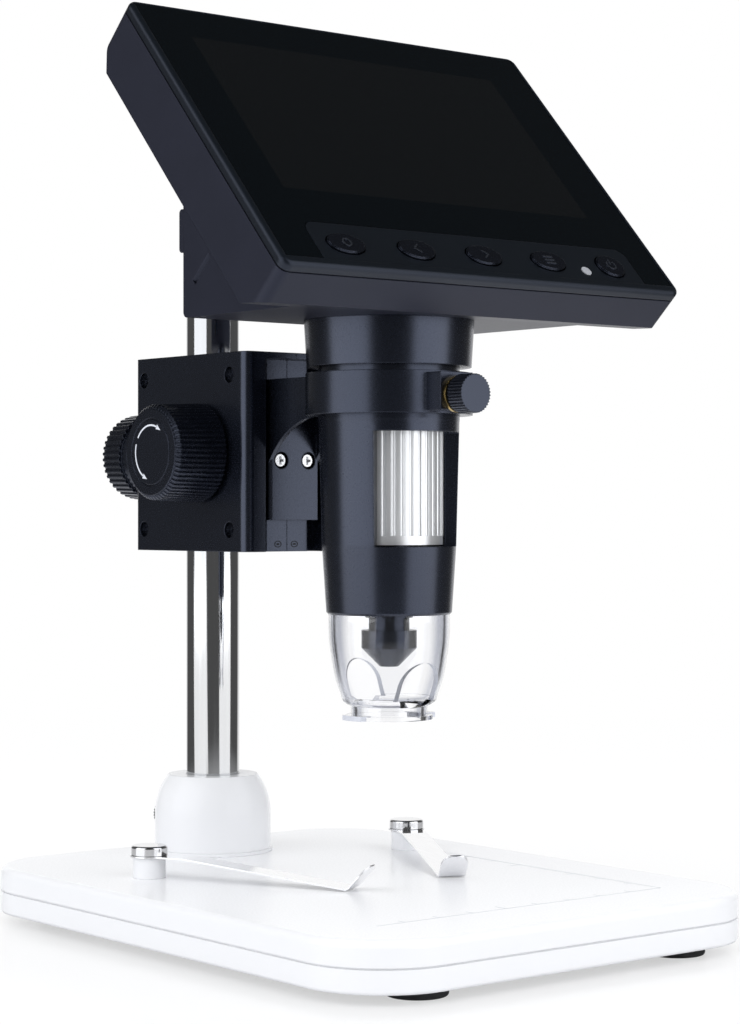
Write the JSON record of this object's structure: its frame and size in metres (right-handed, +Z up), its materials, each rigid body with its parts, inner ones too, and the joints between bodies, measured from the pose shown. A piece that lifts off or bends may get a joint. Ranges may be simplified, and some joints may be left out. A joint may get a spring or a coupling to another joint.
{
  "type": "lcd digital microscope",
  "caption": "Desk microscope with a tilted display head over a lens barrel, held by a ring arm on a rack-focused block that slides on a steel post above a flat stage with clips.",
  "frame": {"origin": "middle of the whole stand's footprint, on the table under the rubber feet", "axes": "+Z up, +X to the operator's right, +Y away from the operator towards the post"},
  "size_m": [0.1248, 0.18, 0.2258],
  "materials": {
    "white_plastic": "satin moulded, very slightly cool white",
    "black_plastic": "satin, finely sparked",
    "black_gloss": "smooth moulded",
    "post_steel": "polished tube",
    "clip_steel": "rolled spring steel",
    "nickel": "nickel plated",
    "brass": "turned",
    "zinc": "zinc plated",
    "rubber": "matt",
    "wheel_silver": "plated and ribbed",
    "clear_plastic": "polished clear moulding",
    "screen_glass": "glossy black",
    "lens_glass": "coated",
    "lens_black": "black anodised",
    "shaft_steel": "ground",
    "acetal": "natural",
    "board_green": "solder mask",
    "panel_grey": "framed module",
    "battery_wrap": "shrink wrap",
    "ribbon": "polyimide",
    "led_white": "clear lens"
  },
  "bodies": {
    "stand": {"base_shell": "white_plastic", "base_tray": "white_plastic", "base_screws": "zinc", "rubber_feet": "rubber", "post_socket": "white_plastic", "socket_insert": "brass", "clip_posts": "white_plastic"},
    "socket_thumbscrew": {"socket_thumbscrew": "black_gloss"},
    "clip_left": {"clip_left": "clip_steel", "clip_rivet_left": "nickel"},
    "clip_right": {"clip_right": "clip_steel", "clip_rivet_right": "nickel"},
    "post": {"post_tube": "post_steel", "post_cap": "black_plastic"},
    "block": {"block_left": "black_plastic", "block_right": "black_plastic", "block_screws": "zinc", "clamp_nut": "zinc", "clamp_pad": "acetal", "shaft_bush": "brass"},
    "clamp_knob": {"clamp_knob": "black_plastic", "clamp_stud": "zinc"},
    "focus_drive": {"pinion_shaft": "shaft_steel", "focus_knob": "black_plastic"},
    "lock_knob": {"lock_knob": "black_plastic", "lock_stud": "zinc"},
    "carriage": {"carriage": "black_plastic", "rack": "acetal", "arm": "black_plastic", "arm_screws": "zinc", "ring_insert": "brass"},
    "ring_thumbscrew": {"ring_thumbscrew": "black_gloss"},
    "head": {"collar": "black_plastic", "barrel": "black_plastic", "led_ring": "led_white", "sensor_board": "board_green", "clear_cap": "clear_plastic", "rear_shell": "black_plastic", "bezel": "black_gloss", "screen_glass": "screen_glass", "lcd_panel": "panel_grey", "main_board": "board_green", "battery": "battery_wrap", "head_screws": "zinc", "rear_cover": "black_plastic", "usb_socket": "nickel", "card_slot": "nickel", "camera_ribbon": "ribbon", "power_led": "led_white", "key_board": "board_green"},
    "focus_wheel": {"focus_wheel": "wheel_silver"},
    "lens": {"lens_tube": "lens_black", "lens_glass": "lens_glass"},
    "key_ok": {"key_ok": "black_gloss"},
    "key_left": {"key_left": "black_gloss"},
    "key_right": {"key_right": "black_gloss"},
    "key_menu": {"key_menu": "black_gloss"},
    "key_power": {"key_power": "black_gloss"},
    "power_switch": {"power_switch": "black_plastic"},
    "dimmer_wheel": {"dimmer_wheel": "black_plastic"}
  },
  "joints": [
    {"name": "post_swivel", "type": "hinge", "parent": "stand", "child": "post", "pos_m": [0, 0.0538, 0.04], "axis": [0, 0, 1], "continuous": true},
    {"name": "socket_thumbscrew_turn", "type": "hinge", "parent": "stand", "child": "socket_thumbscrew", "pos_m": [0, 0.0698, 0.0219], "axis": [0, 1, 0], "continuous": true},
    {"name": "clip_left_swivel", "type": "hinge", "parent": "stand", "child": "clip_left", "pos_m": [-0.04145, 0.0224, 0.018], "axis": [0, 0, 1], "range_deg": [-90, 8]},
    {"name": "clip_right_swivel", "type": "hinge", "parent": "stand", "child": "clip_right", "pos_m": [0.04145, 0.0224, 0.018], "axis": [0, 0, 1], "range_deg": [-8, 90]},
    {"name": "block_height", "type": "slide", "parent": "post", "child": "block", "axis": [0, 0, 1], "range_m": [-0.01, 0.022]},
    {"name": "clamp_knob_turn", "type": "hinge", "parent": "block", "child": "clamp_knob", "pos_m": [0, 0.0738, 0.1198], "axis": [0, 1, 0], "continuous": true},
    {"name": "focus_slide", "type": "slide", "parent": "block", "child": "carriage", "axis": [0, 0, 1], "range_m": [-0.012, 0.0045]},
    {"name": "focus_knob_turn", "type": "hinge", "parent": "block", "child": "focus_drive", "pos_m": [0, 0.0364, 0.1198], "axis": [-1, 0, 0], "range_deg": [-145, 55]},
    {"name": "lock_knob_turn", "type": "hinge", "parent": "block", "child": "lock_knob", "pos_m": [0, 0.0364, 0.1198], "axis": [-1, 0, 0], "range_deg": [0, 90]},
    {"name": "ring_thumbscrew_turn", "type": "hinge", "parent": "carriage", "child": "ring_thumbscrew", "pos_m": [0, -0.0428, 0.1325], "axis": [0, 1, 0], "continuous": true},
    {"name": "head_swivel", "type": "hinge", "parent": "carriage", "child": "head", "pos_m": [0, -0.0208, 0.1282], "axis": [0, 0, 1], "range_deg": [-30, 30]},
    {"name": "lens_focus", "type": "slide", "parent": "head", "child": "lens", "axis": [0, 0, 1], "range_m": [-0.003, 0.003]},
    {"name": "focus_wheel_turn", "type": "hinge", "parent": "head", "child": "focus_wheel", "pos_m": [0, -0.0208, 0.11], "axis": [0, 0, 1], "range_deg": [-180, 180]},
    {"name": "key_ok_press", "type": "slide", "parent": "head", "child": "key_ok", "axis": [0, 0.7337, -0.6794], "range_m": [0, 0.0006], "stiffness_N_per_m": 2000},
    {"name": "key_left_press", "type": "slide", "parent": "head", "child": "key_left", "axis": [0, 0.7337, -0.6794], "range_m": [0, 0.0006], "stiffness_N_per_m": 2000},
    {"name": "key_right_press", "type": "slide", "parent": "head", "child": "key_right", "axis": [0, 0.7337, -0.6794], "range_m": [0, 0.0006], "stiffness_N_per_m": 2000},
    {"name": "key_menu_press", "type": "slide", "parent": "head", "child": "key_menu", "axis": [0, 0.7337, -0.6794], "range_m": [0, 0.0006], "stiffness_N_per_m": 2000},
    {"name": "key_power_press", "type": "slide", "parent": "head", "child": "key_power", "axis": [0, 0.7337, -0.6794], "range_m": [0, 0.0006], "stiffness_N_per_m": 2000},
    {"name": "power_switch_slide", "type": "slide", "parent": "head", "child": "power_switch", "axis": [1, 0, 0], "range_m": [0, 0.004]},
    {"name": "dimmer_turn", "type": "hinge", "parent": "head", "child": "dimmer_wheel", "pos_m": [0.0388, -0.0088, 0.1597], "axis": [0, 0, 1], "range_deg": [-135, 135]}
  ],
  "couplings": [
    {"joint": "focus_knob_turn", "follows": "focus_slide", "rad_per_m": 208.33},
    {"joint": "focus_wheel_turn", "follows": "lens_focus", "rad_per_m": 1040}
  ]
}
